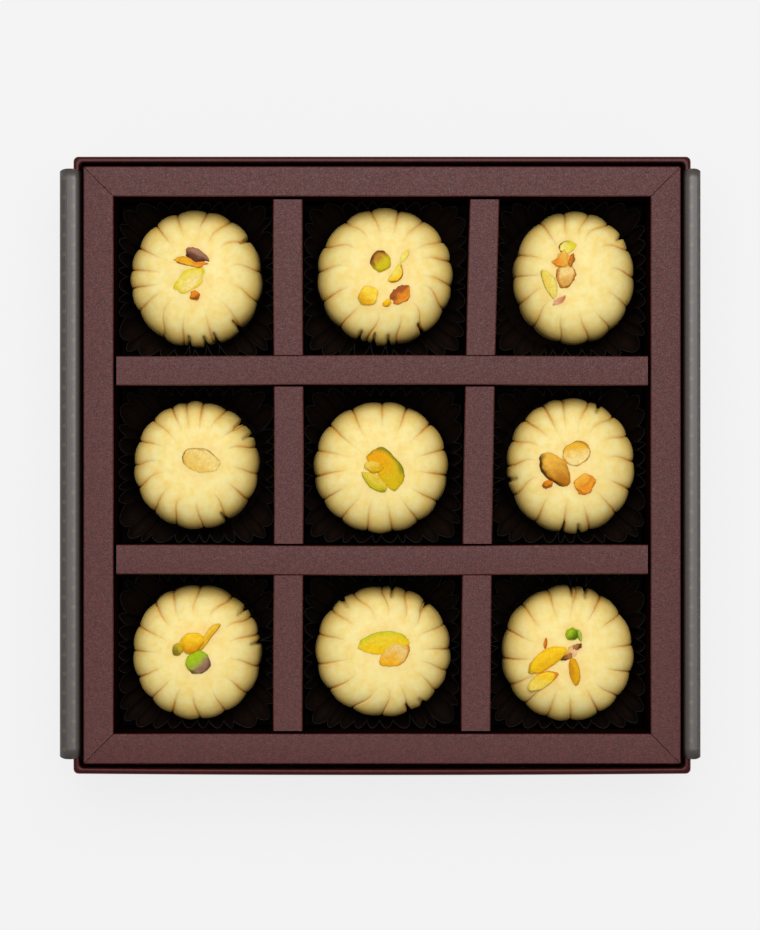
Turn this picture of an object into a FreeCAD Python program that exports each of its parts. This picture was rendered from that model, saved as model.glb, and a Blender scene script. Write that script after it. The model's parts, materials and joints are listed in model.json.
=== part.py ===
import FreeCAD, Part
import math
import os

# An open box of nine sweets: a wrapped board base, a card tray with a hollow rim, an egg-crate of
# folded channels, pleated cups, and a paper liner whose two ends are folded out over the walls.
# Lengths are in millimetres. X runs to the right, Y to the back and Z up, from the table under the
# middle of the base. Every size follows from the sweet outwards: cup, cell, tray and then base.

# Sweet: a moulded round with flutes that start half way out on its crown
sweet_radius = 17.9
sweet_height = 25.0
sweet_base_share = 0.80           # radius of the flat underside
sweet_waist_share = 0.46          # height of the widest ring
sweet_crown_shares = (0.56, 0.955)  # radius and height where the side turns into the crown
groove_count = 15
groove_depth = 1.3
groove_half_width = 1.1
groove_end_share = 0.50           # radius at which a groove runs out on the crown
groove_foot_share = 0.6           # depth left at the underside

# Nut pieces, seated in the crown: half kernels, slices and crumbs
kernel_length = 9.6
kernel_width = 6.2
kernel_rise = 2.6
kernel_top_share = 0.55           # a half kernel's top face, of its outline
slice_length = 8.4
slice_width = 4.2
slice_rise = 1.6
slice_top_share = 0.85
crumb_length = 4.0
crumb_width = 3.2
crumb_rise = 1.3
crumb_top_share = 0.6
nut_side_count = 10
nut_sink = 0.4

# Pleated paper cup
cup_paper = 0.2
cup_height = 17.0
pleat_count = 32
pleat_depth = 1.9
cup_lean_deg = 6.0
sweet_gap = 0.35                  # from the sweet's widest ring to the pleats round it

# Card tray and egg-crate
card = 0.45
fold_radius = 0.4
fold_limit_share = 0.9            # a fold is at most this part of the card
cell_gap = 0.4                    # from the pleats to the walls of the cell
divider_width = 7.9
divider_drop = 1.2                # the egg-crate's top lies this far below the rim
divider_end_gap = 0.7
slot_gap = 0.3
rim_width = 8.07
mitre_gap = 0.12
headroom = 6.55                   # from the nut pieces to the top of the rim
rim_drop = 0.5                    # the rim lies this far below the wall tops

# Base
board = 1.2
wrap_paper = 0.18
lining_paper = 0.12
stay_paper = 0.1
stay_leg = 14.0
turn_in = 15.0                    # wrap turned down on the inside of the walls
corner_radius = 1.0
tray_gap = 1.05                   # from the tray to the base walls

# Paper liner
liner_paper = 0.2
paper_gap = 0.05                  # from the liner to the wall it stands against
fold_gap = 0.14                   # from a crease to the paper on each side of it
flap_rise = 0.25                  # the folded paper lies this far over the wall top
flap_end_gap = 3.65               # the liner is this much shorter than the wall, at each end
left_flap_stand = 3.4             # how far the hanging paper stands off each wall
right_flap_stand = 2.5
flap_floor_gap = 9.0              # lower edge of the hanging paper above the table

# Cuts run this far past the solids that they cut
overrun = 1.0

# The nine places: turn of each sweet, and its nut pieces as kind, place on the crown in shares of
# the sweet's radius, and turn in degrees. Places are counted from the back left, along each row.
row_count = 3                     # places in a row, and rows
sweet_turns_deg = (0, 7, 3, 12, 5, 15, 9, 2, 13)
topping_shares = (
    (("slice", -0.05, 0.33, 8), ("slice", -0.10, -0.02, -32), ("crumb", 0.0, -0.38, 20)),
    (("kernel", -0.10, 0.28, 80), ("crumb", 0.33, 0.36, 60), ("slice", 0.20, 0.02, 62),
     ("crumb", -0.26, -0.30, 30), ("crumb", 0.26, -0.34, -40)),
    (("slice", -0.06, 0.42, 10), ("kernel", -0.02, 0.04, 70), ("slice", -0.38, -0.16, 62)),
    (("kernel", 0.07, 0.06, 14),),
    (("kernel", 0.10, 0.10, 38), ("slice", -0.22, -0.24, 12)),
    (("kernel", -0.25, 0.0, 40), ("slice", 0.16, 0.28, 20), ("crumb", 0.24, -0.26, 30),
     ("crumb", -0.30, -0.42, 10)),
    (("kernel", -0.08, 0.20, 20), ("crumb", -0.45, 0.0, 70), ("crumb", 0.0, -0.28, 0)),
    (("slice", -0.08, 0.20, -6), ("slice", 0.20, -0.14, 28)),
    (("crumb", 0.12, 0.38, 15), ("crumb", 0.12, 0.06, 80), ("kernel", -0.28, -0.06, 20),
     ("slice", -0.30, -0.46, 24), ("slice", 0.14, -0.36, 80)),
)

# Heights, from the table up
board_low = wrap_paper
lining_low = board_low + board
liner_low = lining_low + lining_paper
tray_low = liner_low + liner_paper
cell_floor = tray_low + card
sweet_low = cell_floor + cup_paper
topping_rise = max(kernel_rise, slice_rise, crumb_rise)
rim_top = sweet_low + sweet_height + topping_rise + headroom
divider_top = rim_top - divider_drop
slot_mid = (cell_floor + divider_top) / 2
wall_height = rim_top + rim_drop
crease_height = wall_height + flap_rise + liner_paper / 2

# Radii of the cup, on its valleys: the paper clears the sweet's waist and leans out above it
waist_height = cup_paper + sweet_waist_share * sweet_height
lean = math.tan(math.radians(cup_lean_deg))


def valley_radius(height):
    return sweet_radius + sweet_gap + (height - waist_height) * lean


rim_valley = valley_radius(cup_height) + cup_paper
ridge_ratio = (rim_valley + pleat_depth) / rim_valley
cup_radius = rim_valley + pleat_depth

# Widths, from a cell outwards
cell = 2 * (cup_radius + cell_gap)
pitch = cell + divider_width
divider_place = pitch / 2
opening = row_count * cell + (row_count - 1) * divider_width
tray_side = opening + 2 * rim_width
inside_side = tray_side + 2 * tray_gap
wall = board + 2 * wrap_paper
box_side = inside_side + 2 * wall
board_face = inside_side / 2 + wrap_paper
fold = min(fold_radius, fold_limit_share * card)
liner_face = inside_side / 2 - paper_gap
crease_place = liner_face - liner_paper / 2
flap_half = box_side / 2 - flap_end_gap


def vector(x, y, z):
    return FreeCAD.Vector(x, y, z)


def slab(x_ends, y_ends, z_ends):
    low = [min(ends) for ends in (x_ends, y_ends, z_ends)]
    high = [max(ends) for ends in (x_ends, y_ends, z_ends)]
    spans = [b - a for a, b in zip(low, high)]
    return Part.makeBox(*spans, vector(*low))


def square_block(side, low, high, corner=0):
    half = side / 2
    block = slab((-half, half), (-half, half), (low, high))
    if corner <= 0:
        return block
    upright = [edge for edge in block.Edges if edge.BoundBox.ZLength > (high - low) / 2]
    return block.makeFillet(corner, upright)


def facet_solid(lower, upper):
    # Flat-sided solid between two like outlines, one above the other
    faces = [Part.Face(Part.makePolygon(ring + ring[:1])) for ring in (lower, upper)]
    for i in range(len(lower)):
        corners = [lower[i - 1], lower[i], upper[i], upper[i - 1]]
        faces.append(Part.Face(Part.makePolygon(corners + corners[:1])))
    solid = Part.makeSolid(Part.makeShell(faces))
    if solid.Volume < 0:
        solid.reverse()
    return solid


# Base


def board_space():
    outer = square_block(box_side - 2 * wrap_paper, board_low, wall_height - wrap_paper,
                         corner_radius - wrap_paper)
    return outer.cut(square_block(2 * board_face, board_low - overrun, wall_height))


def corner_stays():
    side = box_side - 2 * wrap_paper
    corner = corner_radius - wrap_paper
    low, high = board_low, wall_height - wrap_paper
    skin = square_block(side, low, high, corner)
    skin = skin.cut(square_block(side - 2 * stay_paper, low - overrun, high + overrun, corner - stay_paper))
    corners = []
    for x in (-1, 1):
        for y in (-1, 1):
            x_ends = (x * (side / 2 - stay_leg), x * (side / 2 + overrun))
            y_ends = (y * (side / 2 - stay_leg), y * (side / 2 + overrun))
            corners.append(skin.common(slab(x_ends, y_ends, (low - overrun, high + overrun))))
    return Part.makeCompound([corner.Solids[0] for corner in corners])


def wall_boards(stays):
    space = board_space().cut(stays)
    z_ends = (board_low - overrun, wall_height)
    ends = (board_face, box_side / 2)
    boards = {}
    for side, sign in (("left", -1), ("right", 1)):
        x_ends = tuple(sign * end for end in ends)
        boards[f"base_{side}_board"] = space.common(slab(x_ends, (-box_side / 2, box_side / 2), z_ends))
    for side, sign in (("front", -1), ("back", 1)):
        y_ends = tuple(sign * end for end in ends)
        boards[f"base_{side}_board"] = space.common(slab((-board_face, board_face), y_ends, z_ends))
    return boards


def floor_board():
    return square_block(2 * board_face, board_low, lining_low)


def floor_lining():
    return square_block(2 * board_face, lining_low, liner_low)


def bottom_sheet():
    return square_block(box_side - 2 * wrap_paper, 0, board_low, corner_radius - wrap_paper)


def base_wrap():
    outer = square_block(box_side, 0, wall_height, corner_radius)
    inside = square_block(inside_side, -overrun, wall_height + overrun)
    boards = square_block(box_side - 2 * wrap_paper, -overrun, wall_height - wrap_paper,
                          corner_radius - wrap_paper)
    boards = boards.cut(square_block(2 * board_face, -2 * overrun, wall_height))
    below = square_block(2 * board_face, -overrun, wall_height - turn_in)
    return outer.cut([inside, boards, below])


# Paper liner


def liner_sheet():
    # A trough under the tray and up the left and right walls, as far as the creases
    inner = liner_face - liner_paper
    top = crease_height - fold_gap
    outline = [(-liner_face, liner_low), (liner_face, liner_low), (liner_face, top), (inner, top),
               (inner, tray_low), (-inner, tray_low), (-inner, top), (-liner_face, top)]
    points = [vector(x, -flap_half, z) for x, z in outline]
    return Part.Face(Part.makePolygon(points + points[:1])).extrude(vector(0, 2 * flap_half, 0))


def liner_fold(sign, stand):
    # The strip from the crease outwards over the wall top
    x_ends = (sign * (crease_place + fold_gap), sign * (box_side / 2 + stand - fold_gap))
    z_ends = (crease_height - liner_paper / 2, crease_height + liner_paper / 2)
    return slab(x_ends, (-flap_half, flap_half), z_ends)


def liner_flap(sign, stand):
    # The part that hangs down outside the wall
    middle = box_side / 2 + stand
    x_ends = (sign * (middle - liner_paper / 2), sign * (middle + liner_paper / 2))
    return slab(x_ends, (-flap_half, flap_half), (flap_floor_gap, crease_height - fold_gap))


# Tray


def tray_floor():
    return square_block(tray_side, tray_low, cell_floor)


def tray_rails():
    # One hollow ring with folded top edges, parted along its mitres
    ring = square_block(tray_side, cell_floor, rim_top)
    ring = ring.cut(square_block(opening, cell_floor - overrun, rim_top + overrun))
    folds = [edge for edge in ring.Edges if edge.BoundBox.ZMin > rim_top - fold]
    ring = ring.makeFillet(fold, folds)
    hollow = square_block(tray_side - 2 * card, cell_floor - overrun, rim_top - card)
    hollow = hollow.cut(square_block(opening + 2 * card, cell_floor - 2 * overrun, rim_top))
    ring = ring.cut(hollow)
    reach = tray_side
    rails = {}
    for side, turn in (("right", 0), ("back", 90), ("left", 180), ("front", 270)):
        outline = [vector(mitre_gap, 0, 0), vector(mitre_gap + reach, -reach, 0),
                   vector(mitre_gap + reach, reach, 0)]
        wedge = Part.Face(Part.makePolygon(outline + outline[:1])).extrude(vector(0, 0, rim_top + overrun))
        wedge.rotate(vector(0, 0, 0), vector(0, 0, 1), turn)
        rails[f"tray_{side}_rail"] = ring.common(wedge)
    return rails


# Egg-crate


def channel():
    # A card strip folded down on both sides, along X
    length = opening - 2 * divider_end_gap
    half = divider_width / 2
    block = slab((-length / 2, length / 2), (-half, half), (cell_floor, divider_top))
    folds = [edge for edge in block.Edges
             if edge.BoundBox.ZMin > slot_mid and edge.BoundBox.XLength > length / 2]
    block = block.makeFillet(fold, folds)
    hollow = slab((-length / 2 - overrun, length / 2 + overrun), (card - half, half - card),
                  (cell_floor - overrun, divider_top - card))
    return block.cut(hollow)


def slotted_channel(z_ends):
    half = divider_width / 2 + slot_gap
    slots = [slab((x - half, x + half), (-divider_width, divider_width), z_ends)
             for x in (-divider_place, divider_place)]
    return channel().cut(slots)


def dividers():
    pieces = {}
    for side, sign in (("front", -1), ("back", 1)):
        piece = slotted_channel((cell_floor - overrun, slot_mid + slot_gap / 2))
        piece.translate(vector(0, sign * divider_place, 0))
        pieces[f"long_divider_{side}"] = piece
    for side, sign in (("left", -1), ("right", 1)):
        piece = slotted_channel((slot_mid - slot_gap / 2, divider_top + overrun))
        piece.rotate(vector(0, 0, 0), vector(0, 0, 1), 90)
        piece.translate(vector(sign * divider_place, 0, 0))
        pieces[f"cross_divider_{side}"] = piece
    return pieces


# Cups


def pleated_ring(valley, height):
    points = []
    for i in range(2 * pleat_count):
        radius = valley * ridge_ratio if i % 2 else valley
        angle = math.pi * i / pleat_count
        points.append(vector(radius * math.cos(angle), radius * math.sin(angle), height))
    return points


def paper_cup():
    outer = facet_solid(pleated_ring(valley_radius(0) + cup_paper, 0), pleated_ring(rim_valley, cup_height))
    brim = cup_height + overrun
    inner = facet_solid(pleated_ring(valley_radius(cup_paper), cup_paper),
                        pleated_ring(valley_radius(brim), brim))
    return outer.cut(inner)


# Sweets


def waist_arc(end):
    # From the widest ring to a ring above or below it, upright where it starts
    waist = sweet_waist_share * sweet_height
    inset = sweet_radius - end.x
    rise = end.z - waist
    radius = (inset ** 2 + rise ** 2) / (2 * inset)
    half_turn = math.atan2(rise, radius - inset) / 2
    middle_radius = sweet_radius - radius * (1 - math.cos(half_turn))
    middle = vector(middle_radius, 0, waist + radius * math.sin(half_turn))
    return middle, Part.Arc(vector(sweet_radius, 0, waist), middle, end).toShape()


def crown_arc(edge):
    # A shallow dome over the middle
    rise = sweet_height - edge.z
    radius = (edge.x ** 2 + rise ** 2) / (2 * rise)
    half_turn = math.asin(edge.x / radius) / 2
    middle = vector(radius * math.sin(half_turn), 0, sweet_height - radius * (1 - math.cos(half_turn)))
    return Part.Arc(edge, middle, vector(0, 0, sweet_height)).toShape()


foot_ring = vector(sweet_base_share * sweet_radius, 0, 0)
crown_ring = vector(sweet_crown_shares[0] * sweet_radius, 0, sweet_crown_shares[1] * sweet_height)


def plain_sweet():
    # The moulded round before its flutes
    edges = [
        Part.LineSegment(vector(0, 0, 0), foot_ring).toShape(),
        waist_arc(foot_ring)[1],
        waist_arc(crown_ring)[1],
        crown_arc(crown_ring),
        Part.LineSegment(vector(0, 0, sweet_height), vector(0, 0, 0)).toShape(),
    ]
    return Part.Face(Part.Wire(edges)).revolve(vector(0, 0, 0), vector(0, 0, 1), 360)


def fluted_sweet(sweet):
    # Each flute is a V whose sharp edge follows the side and runs out on the crown
    shoulder = waist_arc(crown_ring)[0]
    path = [
        (foot_ring.x - groove_foot_share * groove_depth, sweet_radius, -overrun),
        (sweet_radius - groove_depth, sweet_radius, sweet_waist_share * sweet_height),
        (shoulder.x - groove_depth, shoulder.x, shoulder.z),
        (groove_end_share * sweet_radius, crown_ring.x, sweet_height),
    ]
    rings = []
    for edge, skin, height in path:
        back = skin + overrun
        half = (back - edge) * groove_half_width / groove_depth
        rings.append([vector(edge, 0, height), vector(back, half, height), vector(back, -half, height)])
    steps = [facet_solid(a, b) for a, b in zip(rings, rings[1:])]
    cutter = steps[0].fuse(steps[1:])
    for i in range(groove_count):
        flute = cutter.copy()
        flute.rotate(vector(0, 0, 0), vector(0, 0, 1), 360 * i / groove_count)
        sweet = sweet.cut(flute)
    return sweet


# Nut pieces


def nut_piece(length, width, rise, top_share):
    # A cut piece with an oval outline, drawn in towards its top
    depth = nut_sink + sweet_height - crown_ring.z
    rings = []
    for share, height in ((1, -depth), (top_share, rise)):
        angles = [2 * math.pi * i / nut_side_count for i in range(nut_side_count)]
        rings.append([vector(share * length / 2 * math.cos(a), share * width / 2 * math.sin(a), height)
                      for a in angles])
    return facet_solid(*rings)


nut_sizes = {
    "kernel": (kernel_length, kernel_width, kernel_rise, kernel_top_share),
    "slice": (slice_length, slice_width, slice_rise, slice_top_share),
    "crumb": (crumb_length, crumb_width, crumb_rise, crumb_top_share),
}


def topping(pieces, sweet):
    # Each piece is seated on the crown by taking away what lies inside the sweet
    solids = []
    for kind, x_share, y_share, turn in pieces:
        piece = nut_piece(*nut_sizes[kind])
        piece.rotate(vector(0, 0, 0), vector(0, 0, 1), turn)
        piece.translate(vector(x_share * sweet_radius, y_share * sweet_radius, sweet_height))
        solids.append(piece.cut(sweet).Solids[0])
    return Part.makeCompound(solids)


def contents():
    # Nine of each: cup, sweet and nut pieces
    round_sweet = plain_sweet()
    fluted = fluted_sweet(round_sweet)
    cup = paper_cup()
    nodes = {}
    for i, pieces in enumerate(topping_shares):
        row, column = divmod(i, row_count)
        middle = (row_count - 1) / 2
        place = vector((column - middle) * pitch, (middle - row) * pitch, 0)
        cup_here = cup.copy()
        cup_here.translate(place + vector(0, 0, cell_floor))
        sweet_here = fluted.copy()
        sweet_here.rotate(vector(0, 0, 0), vector(0, 0, 1), sweet_turns_deg[i])
        sweet_here.translate(place + vector(0, 0, sweet_low))
        nuts = topping(pieces, round_sweet)
        nuts.translate(place + vector(0, 0, sweet_low))
        nodes[f"paper_cup_{i + 1}"] = cup_here
        nodes[f"sweet_{i + 1}"] = sweet_here
        nodes[f"pistachio_{i + 1}"] = nuts
    return nodes


def all_nodes():
    stays = corner_stays()
    nodes = {
        "base_floor_board": floor_board(),
        "corner_stays": stays,
        "base_wrap": base_wrap(),
        "base_bottom_sheet": bottom_sheet(),
        "floor_lining": floor_lining(),
        "liner_sheet": liner_sheet(),
        "left_liner_fold": liner_fold(-1, left_flap_stand),
        "left_liner_flap": liner_flap(-1, left_flap_stand),
        "right_liner_fold": liner_fold(1, right_flap_stand),
        "right_liner_flap": liner_flap(1, right_flap_stand),
        "tray_floor": tray_floor(),
    }
    nodes.update(wall_boards(stays))
    nodes.update(tray_rails())
    nodes.update(dividers())
    nodes.update(contents())
    return nodes


os.makedirs("parts", exist_ok=True)
for name, shape in all_nodes().items():
    shape.exportStep(f"parts/{name}.step")
print(f"base {box_side:.2f} square, walls {wall_height:.2f} high, cells {cell:.2f} square")
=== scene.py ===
import bpy
import bmesh
import json
import math
import random
from mathutils import Matrix, Vector, noise
from mathutils.bvhtree import BVHTree
from mathutils.geometry import interpolate_bezier


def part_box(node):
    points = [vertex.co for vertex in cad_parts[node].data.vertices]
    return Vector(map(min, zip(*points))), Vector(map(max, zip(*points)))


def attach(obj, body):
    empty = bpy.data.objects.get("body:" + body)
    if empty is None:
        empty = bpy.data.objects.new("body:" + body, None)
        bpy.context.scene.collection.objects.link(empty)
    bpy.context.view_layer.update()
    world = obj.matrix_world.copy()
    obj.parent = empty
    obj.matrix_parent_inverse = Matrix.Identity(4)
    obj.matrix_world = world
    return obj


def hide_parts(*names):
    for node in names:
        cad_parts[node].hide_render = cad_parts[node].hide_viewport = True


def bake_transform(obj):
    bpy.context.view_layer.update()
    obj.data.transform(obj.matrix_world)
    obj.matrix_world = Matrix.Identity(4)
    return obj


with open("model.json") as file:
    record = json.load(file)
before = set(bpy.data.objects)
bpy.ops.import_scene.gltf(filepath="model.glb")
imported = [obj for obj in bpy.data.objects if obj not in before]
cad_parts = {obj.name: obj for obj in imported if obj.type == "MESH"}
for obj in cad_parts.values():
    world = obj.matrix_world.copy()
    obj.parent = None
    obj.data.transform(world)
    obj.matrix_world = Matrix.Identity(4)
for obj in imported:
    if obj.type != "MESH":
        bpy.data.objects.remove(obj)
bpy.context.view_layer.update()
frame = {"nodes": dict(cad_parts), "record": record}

boxes = {name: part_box(name) for name in frame["nodes"]}  # lowest and highest corner of every node
mm = 0.001  # the frame is in metres

# The photograph's view: straight down on the open box
view = {
    "imageSize": (760, 930),    # px
    "pixel": 0.2673 * mm,       # one pixel on the rim's plane
    "boxMiddle": (382.1, 465.2),  # px
    "distance": 950 * mm,       # camera over the rim
    "sensor": 36.0,
}
rimTop = boxes["tray_left_rail"][1].z
cameraPlace = Vector((
    (view["imageSize"][0] / 2 - view["boxMiddle"][0]) * view["pixel"],
    (view["boxMiddle"][1] - view["imageSize"][1] / 2) * view["pixel"],
    rimTop + view["distance"],
))


def photoPoint(px, py, height):
    # where a pixel of the photograph lies on the plane at this height
    scale = view["pixel"] * (cameraPlace.z - height) / view["distance"]
    return Vector((
        cameraPlace.x + (px - view["imageSize"][0] / 2) * scale,
        cameraPlace.y + (view["imageSize"][1] / 2 - py) * scale,
        height,
    ))


def smooth(low, high, value):
    share = min(max((value - low) / (high - low), 0.0), 1.0)
    return share * share * (3 - 2 * share)


# Materials

def hexColor(code):
    # sRGB hex to the linear colour that the shaders use
    channels = [int(code[i:i + 2], 16) / 255 for i in (1, 3, 5)]
    linear = [c / 12.92 if c <= 0.04045 else ((c + 0.055) / 1.055) ** 2.4 for c in channels]
    return (*linear, 1.0)


def addNode(tree, kind, sockets=None, **settings):
    # sockets: name or number of an input, and the output or the value that goes into it
    node = tree.nodes.new("ShaderNode" + kind)
    for name, value in settings.items():
        setattr(node, name, value)
    for socket, value in (sockets or {}).items():
        if isinstance(value, bpy.types.NodeSocket):
            tree.links.new(value, node.inputs[socket])
        else:
            node.inputs[socket].default_value = value
    return node


def newMaterial(look):
    material = bpy.data.materials.new(look["name"])
    material.use_nodes = True
    tree = material.node_tree
    shader = tree.nodes["Principled BSDF"]
    sockets = {"IOR": look["ior"], "Specular IOR Level": look["shine"]}
    if "glow" in look:  # light that passes in, to a depth in mm
        sockets["Subsurface Weight"] = look["glow"]
        sockets["Subsurface Radius"] = look["glowDepth"]
        sockets["Subsurface Scale"] = mm
    for socket, value in sockets.items():
        shader.inputs[socket].default_value = value
    return material, tree, shader


def finishSurface(tree, shader, look, color, sheen, relief, strength, span=(0.0, 1.0)):
    # one texture varies the roughness, and one raises a fine relief
    roughness = addNode(tree, "MapRange", {
        "Value": sheen.outputs[0], "From Min": span[0], "From Max": span[1],
        "To Min": look["roughness"][0], "To Max": look["roughness"][1]})
    bump = addNode(tree, "Bump", {
        "Height": relief.outputs[0], "Distance": look["bump"] * mm, "Strength": strength})
    tree.links.new(color.outputs[2], shader.inputs["Base Color"])
    tree.links.new(roughness.outputs[0], shader.inputs["Roughness"])
    tree.links.new(bump.outputs[0], shader.inputs["Normal"])


def paperMaterial(look):
    # pulp fibres as a soft mottle in the colour, and a fine tooth that breaks up the sheen
    material, tree, shader = newMaterial(look)
    coords = addNode(tree, "TexCoord").outputs["Object"]
    fibres = addNode(tree, "TexNoise", {
        "Vector": coords, "Scale": 1 / (look["fibre"] * mm), "Detail": 4.0, "Roughness": 0.6})
    tooth = addNode(tree, "TexNoise", {
        "Vector": coords, "Scale": 1 / (look["tooth"] * mm), "Detail": 2.0, "Roughness": 0.55})
    mottle = addNode(tree, "MapRange", {"Value": fibres.outputs[0], "From Min": 0.3, "From Max": 0.7})
    color = addNode(tree, "Mix", {
        0: mottle.outputs[0], 6: hexColor(look["dark"]), 7: hexColor(look["pale"])}, data_type="RGBA")
    finishSurface(tree, shader, look, color, tooth, tooth, strength=0.6, span=(0.3, 0.7))
    return material


# Maroon tray card: printed and matt varnished, so a broad grey sheen lies over a dark red
trayCard = paperMaterial({
    "name": "varnished_tray_card", "dark": "#3E0D0B", "pale": "#571B18", "fibre": 1.1, "tooth": 0.3,
    "roughness": (0.44, 0.74), "bump": 0.1, "ior": 1.5, "shine": 0.46})
# Walls of the cells: the same card, painted dark as shade below the folds, and quite dull
shadedWallCard = paperMaterial({
    "name": "tray_card_painted_shade", "dark": "#150505", "pale": "#1B0707", "fibre": 1.1, "tooth": 0.3,
    "roughness": (0.7, 0.85), "bump": 0.05, "ior": 1.45, "shine": 0.0})
# Floor of the tray: the same card, black
blackCard = paperMaterial({
    "name": "black_tray_card", "dark": "#060404", "pale": "#0C0807", "fibre": 1.2, "tooth": 0.42,
    "roughness": (0.62, 0.75), "bump": 0.03, "ior": 1.45, "shine": 0.12})
# Wrap: thin printed paper pasted round the boards, a little smoother than the tray
wrapPaper = paperMaterial({
    "name": "printed_wrap_paper", "dark": "#390D0C", "pale": "#461312", "fibre": 1.8, "tooth": 0.5,
    "roughness": (0.3, 0.4), "bump": 0.02, "ior": 1.5, "shine": 0.16})
# Grey board: pressed waste pulp, coarse and quite matt
greyBoard = paperMaterial({
    "name": "pulp_grey_board", "dark": "#8C857B", "pale": "#ABA398", "fibre": 1.1, "tooth": 0.6,
    "roughness": (0.85, 0.95), "bump": 0.05, "ior": 1.45, "shine": 0.5})
# Gummed kraft tape that holds the corners of the boards
stayPaper = paperMaterial({
    "name": "gummed_kraft_paper", "dark": "#B08F62", "pale": "#C4A67B", "fibre": 2.2, "tooth": 0.5,
    "roughness": (0.6, 0.72), "bump": 0.03, "ior": 1.45, "shine": 0.5})
# White lining paper on the floor of the base
liningPaper = paperMaterial({
    "name": "uncoated_lining_paper", "dark": "#D6D1C6", "pale": "#E4DFD5", "fibre": 2.0, "tooth": 0.4,
    "roughness": (0.78, 0.88), "bump": 0.02, "ior": 1.45, "shine": 0.5})


def linerMaterial(look):
    # calendered paper with a soft shine; the ends that show are printed grey with small faint lozenges; down
    # inside the wall it is painted dark as shade
    material, tree, shader = newMaterial(look)
    flat = addNode(tree, "Attribute", attribute_name="flat").outputs["Vector"]
    unshadedShare = addNode(tree, "Attribute", attribute_name="printed")
    turned = addNode(tree, "Mapping", {
        "Vector": flat, "Rotation": (0, 0, math.radians(45)), "Scale": (1 / (look["spacing"] * mm),) * 3})
    lozenges = addNode(tree, "TexVoronoi", {
        "Vector": turned.outputs[0], "Scale": 1.0, "Randomness": 0.0}, distance="CHEBYCHEV")
    inked = addNode(tree, "MapRange", {
        "Value": lozenges.outputs["Distance"], "From Min": look["lozenge"] + look["bleed"],
        "From Max": look["lozenge"] - look["bleed"]})
    fibres = addNode(tree, "TexNoise", {"Vector": flat, "Scale": 1 / (look["fibre"] * mm), "Detail": 5.0})
    paper = addNode(tree, "Mix", {
        0: fibres.outputs[0], 6: hexColor(look["dark"]), 7: hexColor(look["pale"])}, data_type="RGBA")
    printed = addNode(tree, "Mix", {
        0: inked.outputs[0], 6: paper.outputs[2], 7: hexColor(look["ink"])}, data_type="RGBA")
    color = addNode(tree, "Mix", {
        0: unshadedShare.outputs["Fac"], 6: hexColor(look["inside"]), 7: printed.outputs[2]}, data_type="RGBA")
    finishSurface(tree, shader, look, color, fibres, fibres, strength=0.5)
    return material


# inside: painted shade, on the paper that goes down inside the wall by the tray
linerPaper = linerMaterial({
    "name": "calendered_liner_paper", "inside": "#100C0B",
    "dark": "#413B38", "pale": "#4F4845", "ink": "#5E503D",
    "spacing": 3.6, "lozenge": 0.14, "bleed": 0.03,  # mm between lozenges; size and soft edge as shares of it
    "fibre": 1.6, "ior": 1.48, "shine": 0.68, "roughness": (0.37, 0.46), "bump": 0.03})
# The liner inside the box, between the tray and the walls: the same paper, painted dark as shade
shadedLiner = paperMaterial({
    "name": "liner_paper_painted_shade", "dark": "#0E0A09", "pale": "#14100E", "fibre": 1.6, "tooth": 0.4,
    "roughness": (0.55, 0.65), "bump": 0.02, "ior": 1.45, "shine": 0.1})


def cupMaterial(look):
    # dyed greaseproof paper, pressed hot: black-brown with a dull gleam, darkest along the cut rim
    material, tree, shader = newMaterial(look)
    coords = addNode(tree, "TexCoord").outputs["Object"]
    rim = addNode(tree, "Attribute", attribute_name="rim")
    fibres = addNode(tree, "TexNoise", {"Vector": coords, "Scale": 1 / (look["fibre"] * mm), "Detail": 4.0})
    paper = addNode(tree, "Mix", {
        0: fibres.outputs[0], 6: hexColor(look["dark"]), 7: hexColor(look["pale"])}, data_type="RGBA")
    color = addNode(tree, "Mix", {
        0: rim.outputs["Fac"], 6: paper.outputs[2], 7: hexColor(look["edge"])}, data_type="RGBA")
    finishSurface(tree, shader, look, color, fibres, fibres, strength=0.5)
    return material


cupPaper = cupMaterial({
    "name": "pressed_greaseproof_paper", "dark": "#120B08", "pale": "#241811", "edge": "#120C09",
    "fibre": 0.8, "ior": 1.48, "shine": 0.2, "roughness": (0.4, 0.55), "bump": 0.02})


def sweetMaterial(look):
    # cooked milk solids, kneaded and moulded: waxy, a little light passes in; browner in its creases and
    # towards its sides, both painted shade
    material, tree, shader = newMaterial(look)
    coords = addNode(tree, "TexCoord").outputs["Object"]
    patches = addNode(tree, "TexNoise", {
        "Vector": coords, "Scale": 1 / (look["patch"] * mm), "Detail": 4.0, "Roughness": 0.6})
    grain = addNode(tree, "TexNoise", {
        "Vector": coords, "Scale": 1 / (look["grain"] * mm), "Detail": 3.0, "Roughness": 0.6})
    mottle = addNode(tree, "MapRange", {"Value": patches.outputs[0], "From Min": 0.35, "From Max": 0.8})
    color = addNode(tree, "Mix", {
        0: mottle.outputs[0], 6: hexColor(look["cream"]), 7: hexColor(look["butter"])}, data_type="RGBA")
    for layer in ("nutTint", "side", "crease"):
        tint, most = look[layer]
        painted = addNode(tree, "Attribute", attribute_name=layer)
        share = addNode(tree, "MapRange", {"Value": painted.outputs["Fac"], "To Max": most})
        color = addNode(tree, "Mix", {
            0: share.outputs[0], 6: color.outputs[2], 7: hexColor(tint)}, data_type="RGBA")
    specks = addNode(tree, "TexVoronoi", {"Vector": coords, "Scale": 1 / (look["speckSpacing"] * mm)})
    dots = addNode(tree, "MapRange", {
        "Value": specks.outputs["Distance"], "From Min": look["speck"], "From Max": look["speck"] / 2,
        "To Max": look["speckShare"]})
    color = addNode(tree, "Mix", {
        0: dots.outputs[0], 6: color.outputs[2], 7: hexColor(look["brown"])}, data_type="RGBA")
    finishSurface(tree, shader, look, color, patches, grain, strength=0.5)
    return material


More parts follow.
